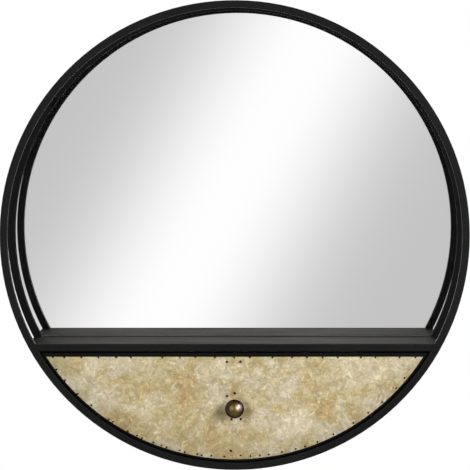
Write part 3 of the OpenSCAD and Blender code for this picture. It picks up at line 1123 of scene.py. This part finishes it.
@dataclass
class HoopFrame(SubAssembly):
    """Front hoop, rear ring, tie bars, shelf, drawer bay shell and hangers."""

    bead: WeldBead = field(default_factory=lambda: WeldBead(9 * MM))
    rivet_dome: float = 1 * MM
    rivet_shank: float = 1.5 * MM
    rivet_steps: int = 24
    bumper_edge: float = 1.2 * MM
    bumper_chamfer: float = 0.4 * MM
    bumper_dimple: float = 3.5 * MM
    dimple_depth: float = 2 * MM
    dimple_taper: float = 0.6 * MM
    bumper_steps: int = 40

    def build(self) -> None:
        """Dresses the steel and adds welds, rivets and bumpers."""
        self.dress(POWDER, "front_hoop")
        self.dress(BAR, "chord_bar")
        self.dress(REAR_COAT_WITH_PAINTED_SHADE, "rear_ring")
        self.dress(WIPED, "shelf_plate")
        self.dress(POWDER, "tie_bar_left", "tie_bar_top", "tie_bar_right")
        self.dress(POWDER, "drawer_housing", "bay_back_panel")
        self.dress(ZINC, "hanger_left", "hanger_right")
        self._weld_tie_bars()
        self.stand_in("panel_rivet_heads", "panel_rivets", self._rivet, ZINC, Slot.ZINC)
        self.stand_in("wall_bumper_pads", "wall_bumpers", self._bumper, RUBBER, Slot.RUBBER)

    def _weld_tie_bars(self) -> None:
        """Lays a bead at both ends of each tie bar, on its inner face."""
        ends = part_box("front_hoop")[1].y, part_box("rear_ring")[0].y
        places = []
        for node in ("tie_bar_left", "tie_bar_top", "tie_bar_right"):
            points = [point.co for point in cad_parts[node].data.vertices]
            centre = sum(points, Vector()) / len(points)
            out = Vector((centre.x, 0, centre.z)).normalized()
            inner = min(point.dot(out) for point in points)
            turned = Matrix.Rotation(math.pi / 2 - math.atan2(out.z, out.x), 4, "Y")
            for y in ends:
                places.append(Matrix.Translation(out * inner + Vector((0, y, 0))) @ turned)
        self.hand_over(copied("tie_bar_welds", self.bead.model(), places), POWDER, Slot.STEEL)

    def _rivet(self, box: Box) -> Piece:
        """Turns a domed rivet.

        Args:
            box: Box of the CAD rivet.

        Returns:
            The rivet.
        """
        front, back, radius = measures(box)
        height, shank = self.rivet_dome, self.rivet_shank
        dome = (radius**2 + height**2) / (2 * height)
        rise = math.degrees(math.asin(radius / dome))
        profile = [(0.0, front), (shank, front), (shank, back - height)]
        profile += arc((0.0, back - dome), dome, rise - 90, -90, 7)
        return turn("rivet", (0, 0), profile, self.rivet_steps)

    def _bumper(self, box: Box) -> Piece:
        """Turns a rubber bumper with a rounded rim and a dimple.

        Args:
            box: Box of the CAD bumper.

        Returns:
            The bumper.
        """
        front, back, radius = measures(box)
        edge, chamfer, floor = self.bumper_edge, self.bumper_chamfer, back - self.dimple_depth
        profile = [(0.0, front), (radius - chamfer, front), (radius, front + chamfer)]
        profile += arc((radius - edge, back - edge), edge, 0, -90, 6)
        profile += [(self.bumper_dimple, back), (self.bumper_dimple - self.dimple_taper, floor)]
        return turn("bumper", (0, 0), [*profile, (0.0, floor)], self.bumper_steps)


@dataclass
class MirrorPanel(SubAssembly):
    """Glass, gasket, backing and what holds them in the rear ring."""

    screw: CrossScrew = field(default_factory=lambda: CrossScrew(1.8 * MM, 1.25 * MM))

    def build(self) -> None:
        """Dresses the layers and adds the tab screws."""
        self.dress(SILVER, "mirror_glass")
        self.dress(FOAM, "mirror_gasket")
        self.dress(FIBRE, "mirror_backing")
        self.dress(RUBBER, "setting_blocks")
        self.dress(ZINC, "retaining_tabs")
        self.stand_in("tab_screw_set", "tab_screws", self.screw.model, ZINC, Slot.ZINC)


@dataclass
class DrawerBay(SubAssembly):
    """Runners, kickers and stops that guide the drawer."""

    def build(self) -> None:
        """Dresses the pieces."""
        self.dress(ZINC, "runner_left", "runner_right")
        self.dress(TAPE, "glide_tape_left", "glide_tape_right")
        self.dress(BOARD, "kicker_left", "kicker_right")
        self.dress(RUBBER, "stop_bumpers")


@dataclass
class CladSheet:
    """One of the two metal sheets on the drawer front, cut by hand and held by its tacks."""

    side: Side
    radius: float
    top: float
    seam: float
    face: float
    thickness: float
    tacks: Sequence[Pair]
    arc_points: int = 560
    rows: int = 44
    slack: float = 0.75 * MM
    slack_size: float = 30 * MM
    ripple: float = 0.28 * MM
    ripple_size: float = 8 * MM
    held: float = 7 * MM
    rim: float = 0.12 * MM

    def model(self) -> Piece:
        """Models the sheet.

        Returns:
            The sheet, with a rumpled face and rounded cut edges.
        """
        piece = self._cut_arc()
        self._fill_up_to_top(piece)
        self._mark_slack(piece)
        add_clouds(piece, "Y", -self.slack, self.slack_size, "slack")
        add_clouds(piece, "Y", -self.ripple, self.ripple_size, "slack")
        modify(piece, "SOLIDIFY", thickness=self.thickness, offset=-1)
        modify(piece, "BEVEL", width=self.rim, segments=2, limit_method="ANGLE")
        apply_modifiers(piece)
        smooth(piece, degrees=40)
        return piece

    def _cut_arc(self) -> Piece:
        """Makes the sheet's curved edge as a chain of points.

        Returns:
            The edge.
        """
        bpy.ops.mesh.primitive_circle_add(
            vertices=self.arc_points,
            radius=self.radius,
            location=(0, self.face, 0),
            rotation=(math.pi / 2, 0, 0),
        )
        piece = started(f"cladding_sheet_{self.side.name.lower()}")
        above = ((0, self.face, self.top), (0, 0, 1))
        beside = ((self.seam, self.face, 0), (-self.side.value, 0, 0))
        with editing(piece):
            for place, outwards in (above, beside):
                bpy.ops.mesh.select_all(action="SELECT")
                bpy.ops.mesh.bisect(plane_co=place, plane_no=outwards, clear_outer=True)
        return piece

    def _fill_up_to_top(self, piece: Piece) -> None:
        """Draws the curved edge up to the straight top in rows of faces.

        Args:
            piece: The curved edge.
        """
        with editing(piece):
            for row in range(self.rows, 0, -1):
                bpy.ops.mesh.extrude_region_move()
                bpy.ops.transform.resize(
                    value=(1, 1, (row - 1) / row), center_override=(0, self.face, self.top)
                )
            bpy.ops.mesh.select_all(action="SELECT")
            bpy.ops.mesh.remove_doubles(threshold=0.05 * MM)
            bpy.ops.mesh.normals_make_consistent(inside=False)
        if piece.data.polygons[0].normal.y > 0:
            with editing(piece):
                bpy.ops.mesh.flip_normals()

    def _mark_slack(self, piece: Piece) -> None:
        """Weighs each point by how freely the sheet can bulge there.

        Args:
            piece: The flat sheet.
        """
        tree = KDTree(len(self.tacks))
        for index, (x, z) in enumerate(self.tacks):
            tree.insert((x, self.face, z), index)
        tree.balance()
        group = piece.vertex_groups.new(name="slack")
        for point in piece.data.vertices:
            distance = tree.find(point.co)[2]
            group.add([point.index], 1 - math.exp(-((distance / self.held) ** 2)), "REPLACE")


@dataclass
class DrawerFront(SubAssembly):
    """Half-moon front board with its two sheets and their tacks.

    The crown of a tack is given by shares of its radius and how far behind its top they lie.
    Dents are the height and the size of the hammer's marks, and long and short the ranges of
    the head's two widths.
    """

    seam_gap: float = 0.08 * MM
    knob_hole: float = 2.1 * MM
    drill_reach: float = 5 * MM
    drill_steps: int = 32
    head_sides: int = 10
    crown: tuple[Pair, ...] = ((0.0, 0.0), (0.35, 0.05 * MM), (0.7, 0.22 * MM), (0.94, 0.5 * MM))
    lip: float = 0.15 * MM
    shank: float = 0.6 * MM
    point: float = 1.5 * MM
    dents: Pair = (0.25 * MM, 1.3 * MM)
    long: Pair = (0.98, 1.18)
    short: Pair = (0.82, 0.98)
    seed: int = 5

    def build(self) -> None:
        """Dresses the board and models sheets and tacks."""
        self.dress(BOARD, "drawer_front")
        boxes = solids("cladding_tacks")
        self._lay_sheets([middle(box) for box in boxes])
        self._drive_tacks(boxes)

    def _lay_sheets(self, tacks: Sequence[Pair]) -> None:
        """Models both sheets and drills the knob's hole.

        Args:
            tacks: x and z of the tacks.
        """
        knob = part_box("knob")
        seam = (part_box("cladding_left")[1].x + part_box("cladding_right")[0].x) / 2
        for side in Side:
            node = f"cladding_{side.name.lower()}"
            low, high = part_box(node)
            sheet = CladSheet(
                side=side,
                radius=-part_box("cladding_right")[0].z,
                top=high.z,
                seam=seam + side.value * self.seam_gap / 2,
                face=low.y,
                thickness=high.y - low.y,
                tacks=tacks,
            ).model()
            if side is Side.RIGHT:
                ends = low.y - self.drill_reach, high.y + self.drill_reach
                drill = [(0.0, ends[0]), *((self.knob_hole, y) for y in ends), (0.0, ends[1])]
                cut_away(sheet, turn("drill", middle(knob), drill, self.drill_steps))
            self.hand_over(sheet, GILT, Slot.SHEET, node)

    def _drive_tacks(self, boxes: Sequence[Box]) -> None:
        """Hammers an uneven head onto each tack, as wide as its CAD tack.

        Args:
            boxes: Boxes of the CAD tacks.
        """
        front, back, radius = measures(boxes[0])
        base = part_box("cladding_left")[0].y
        profile = [(share * radius, front + depth) for share, depth in self.crown]
        profile += [(radius, base - self.lip), (0.96 * radius, base)]
        profile += [(self.shank, base), (self.shank, back - self.point), (0.0, back)]
        head = turn("tack", (0, 0), profile, self.head_sides)
        add_clouds(head, "NORMAL", *self.dents)
        apply_modifiers(head)
        draw = random.Random(self.seed)
        places = []
        for box in boxes:
            x, z = middle(box)
            wide = measures(box)[2] / radius
            turned = Matrix.Rotation(draw.uniform(0, math.tau), 4, "Y")
            squeezed = Matrix.Diagonal(
                (wide * draw.uniform(*self.long), 1, wide * draw.uniform(*self.short), 1)
            )
            places.append(Matrix.Translation((x, 0, z)) @ turned @ squeezed)
        tacks = copied("tack_heads", head, places)
        smooth(tacks, degrees=50)
        self.hand_over(tacks, IRON, Slot.TACK, "cladding_tacks")


@dataclass
class DrawerBox(SubAssembly):
    """Plywood box behind the front, with its brads and screws."""

    screw: CrossScrew = field(
        default_factory=lambda: CrossScrew(2 * MM, 1.75 * MM, 1.4 * MM, 0.9 * MM)
    )

    def build(self) -> None:
        """Dresses the box and adds the front screws."""
        self.dress(PLY_FRONT, "box_front", "box_back")
        self.dress(PLY_SIDE, "box_side_left", "box_side_right")
        self.dress(PLY_FLOOR, "box_bottom")
        self.dress(ZINC, "box_brads")
        self.stand_in("front_screw_set", "front_screws", self.screw.model, ZINC, Slot.ZINC)


@dataclass
class BallKnob(SubAssembly):
    """Turned ball knob on its rosette, held from inside the drawer."""

    neck: float = 4.5 * MM
    foot: float = 6.5 * MM
    foot_height: float = 1.6 * MM
    foot_rim: float = 0.4 * MM
    cove: float = 1.2 * MM
    skin: float = 0.1 * MM
    dents: Pair = (0.12 * MM, 5 * MM)
    steps: int = 72

    def build(self) -> None:
        """Turns the knob and its rosette and dresses screw and washer."""
        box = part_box("knob")
        (front, back, radius), axis = measures(box), middle(box)
        centre = (axis[0], front + radius, axis[1])
        bronze = AntiqueBronze("antique_bronze_knob", centre, radius)
        outline = self._outline(front + self.skin, back, radius - self.skin)
        knob = turn("ball_knob", axis, outline, self.steps)
        add_clouds(knob, "NORMAL", *self.dents)
        apply_modifiers(knob)
        smooth(knob)
        self.hand_over(knob, bronze, Slot.BRONZE, "knob")
        front, back, radius = measures(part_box("knob_rosette"))
        rim = arc((radius - (back - front), back), back - front, 90, 0, 8)
        outline = [(0.0, front), (0.8 * radius, front), *rim, (0.0, back)]
        rose = turn("knob_rose", axis, outline, self.steps)
        self.hand_over(rose, bronze, Slot.BRONZE, "knob_rosette")
        self.dress(ZINC, "knob_washer", "knob_screw")

    def _outline(self, front: float, back: float, radius: float) -> list[Pair]:
        """Profile of ball, cove, neck and foot.

        Args:
            front: y of the ball's front pole.
            back: y of the foot's face on the rosette.
            radius: Radius of the ball.

        Returns:
            Points of radius and y.
        """
        meets = math.degrees(math.acos((self.neck + 0.4 * self.cove) / radius))
        ball = arc((0.0, front + radius), radius, 90, -meets, 34)
        foot_top = back - self.foot_height
        cove = arc((self.neck + self.cove, foot_top - self.cove), self.cove, 180, 270, 6)
        rim = self.foot_rim
        rounded = arc((self.foot - rim, foot_top + rim), rim, 90, 0, 4)
        return [*ball, *cove, *rounded, (self.foot, back), (0.0, back)]


# ---- Studio ----


@dataclass(frozen=True)
class Lamp:
    """A square soft lamp that points at the object.

    Towards is the direction from the object to the lamp. The level is the share of full light
    that it gives to a face turned to the viewer.
    """

    name: str
    towards: Triple
    size: float
    level: float
    distance: float = 2.4

    def hang(self) -> None:
        """Adds the lamp to the scene."""
        towards = Vector(self.towards).normalized()
        bpy.ops.object.light_add(type="AREA", location=towards * self.distance)
        lamp = bpy.context.object
        lamp.name = self.name
        lamp.rotation_euler = towards.to_track_quat("Z", "Y").to_euler()
        lamp.data.size = self.size
        lamp.data.energy = self.level * (math.pi * self.distance) ** 2 / -towards.y


@dataclass
class Studio:
    """White surroundings, three soft lamps, a pale floor and the camera.

    The levels are shares of the light at which a colour renders as it is written. The window
    is a soft bright band ahead of the mirror, across its tilt.
    """

    lamps: tuple[Lamp, ...] = (
        Lamp("key_lamp", (0.72, -1.0, 0.24), 0.75, 0.52),
        Lamp("fill_lamp", (-0.6, -1.0, 0.2), 0.75, 0.34),
        Lamp("side_lamp", (1.0, -0.34, 0.55), 0.3, 0.12),
    )
    ambient: float = 0.03
    ambient_behind: float = 0.36
    surround: float = 0.554
    window_tilt: Pair = (0.875, -0.484)
    window_shift: float = 0.0083
    window_width: float = 0.0466
    window_steepness: float = 2.34
    window_reach: float = 0.9
    camera_place: Triple = (0.0606, -2.8965, 0.159)
    aim: Triple = (0.0601, -0.110, 0.0923)
    lens: float = 164.79
    shift: Pair = (-0.098, -0.15)
    floor_level: float = -1.0
    floor_half: float = 2.6
    floor_tone: Triple = (0.86, 0.86, 0.85)
    floor_glow: float = 0.45

    def build(self) -> None:
        """Sets up the whole studio."""
        bpy.context.scene.view_settings.view_transform = "Standard"
        self._light_world()
        for lamp in self.lamps:
            lamp.hang()
        self._lay_floor()
        self._place_camera()
        log.info("studio: camera, three lamps, floor")

    def _light_world(self) -> None:
        """Makes a white backdrop, an even ambient light and a soft bright window."""
        world = bpy.context.scene.world = bpy.data.worlds.new("studio")
        world.use_nodes = True
        bench = NodeBench(world.node_tree)
        bench.nodes.clear()
        calc = bench.calc
        path = bench.add("LightPath", {}).outputs
        ray = bench.add("TexCoord", {}).outputs["Generated"]
        x, y, z = bench.add("SeparateXYZ", {0: ray}).outputs
        tilt_x, tilt_z = self.window_tilt
        tilted = calc("ADD", calc("MULTIPLY", x, tilt_x), calc("MULTIPLY", z, tilt_z))
        off = calc("DIVIDE", calc("SUBTRACT", tilted, self.window_shift), self.window_width)
        fall = calc("POWER", calc("ABSOLUTE", off), self.window_steepness)
        bell = calc("EXPONENT", calc("MULTIPLY", fall, -1.0))
        ahead = calc("GREATER_THAN", calc("MULTIPLY", y, -1.0), self.window_reach)
        window = calc("MULTIPLY", calc("MULTIPLY", bell, ahead), 1.0 - self.surround)
        seen = calc("ADD", window, self.surround)
        behind = calc("MULTIPLY", calc("MAXIMUM", y, 0.0), self.ambient_behind - self.ambient)
        ambient = calc("ADD", behind, self.ambient)
        mirrored = calc("MULTIPLY", path["Is Glossy Ray"], calc("SUBTRACT", seen, ambient))
        level = calc("ADD", ambient, mirrored)
        direct = calc("MAXIMUM", path["Is Camera Ray"], path["Is Transmission Ray"])
        level = calc("ADD", calc("MULTIPLY", level, calc("SUBTRACT", 1.0, direct)), direct)
        backdrop = bench.add("Background", {"Color": WHITE, "Strength": level})
        bench.add("OutputWorld", {0: backdrop.outputs[0]})

    def _lay_floor(self) -> None:
        """Lays a pale floor well below the object."""
        place = (0, 0, self.floor_level)
        bpy.ops.mesh.primitive_plane_add(size=2 * self.floor_half, location=place)
        floor = started("studio_floor")
        tree = ShaderTree("pale_floor", metallic=0.0, specular=0.5, roughness=0.8)
        tree.put("Base Color", self.floor_tone)
        tree.put("Emission Color", WHITE)
        seen = tree.add("LightPath", {}).outputs["Is Camera Ray"]
        tree.put("Emission Strength", tree.calc("MULTIPLY", seen, self.floor_glow))
        floor.data.materials.append(tree.material)

    def _place_camera(self) -> None:
        """Puts the camera at the photograph's viewing angle."""
        place = Vector(self.camera_place)
        bpy.ops.object.camera_add(location=place)
        camera = bpy.context.object
        camera.name = "studio_camera"
        camera.rotation_euler = (Vector(self.aim) - place).to_track_quat("-Z", "Y").to_euler()
        camera.data.lens = self.lens
        camera.data.shift_x, camera.data.shift_y = self.shift
        bpy.context.scene.camera = camera


def main() -> None:
    """Builds the mirror and its studio."""
    logging.basicConfig(level=logging.INFO, format="%(name)s: %(message)s")
    Studio().build()
    HoopFrame(Body.FRAME).build()
    MirrorPanel(Body.FRAME).build()
    DrawerBay(Body.FRAME).build()
    DrawerFront(Body.DRAWER).build()
    DrawerBox(Body.DRAWER).build()
    BallKnob(Body.DRAWER).build()


if __name__ == "__main__":
    main()
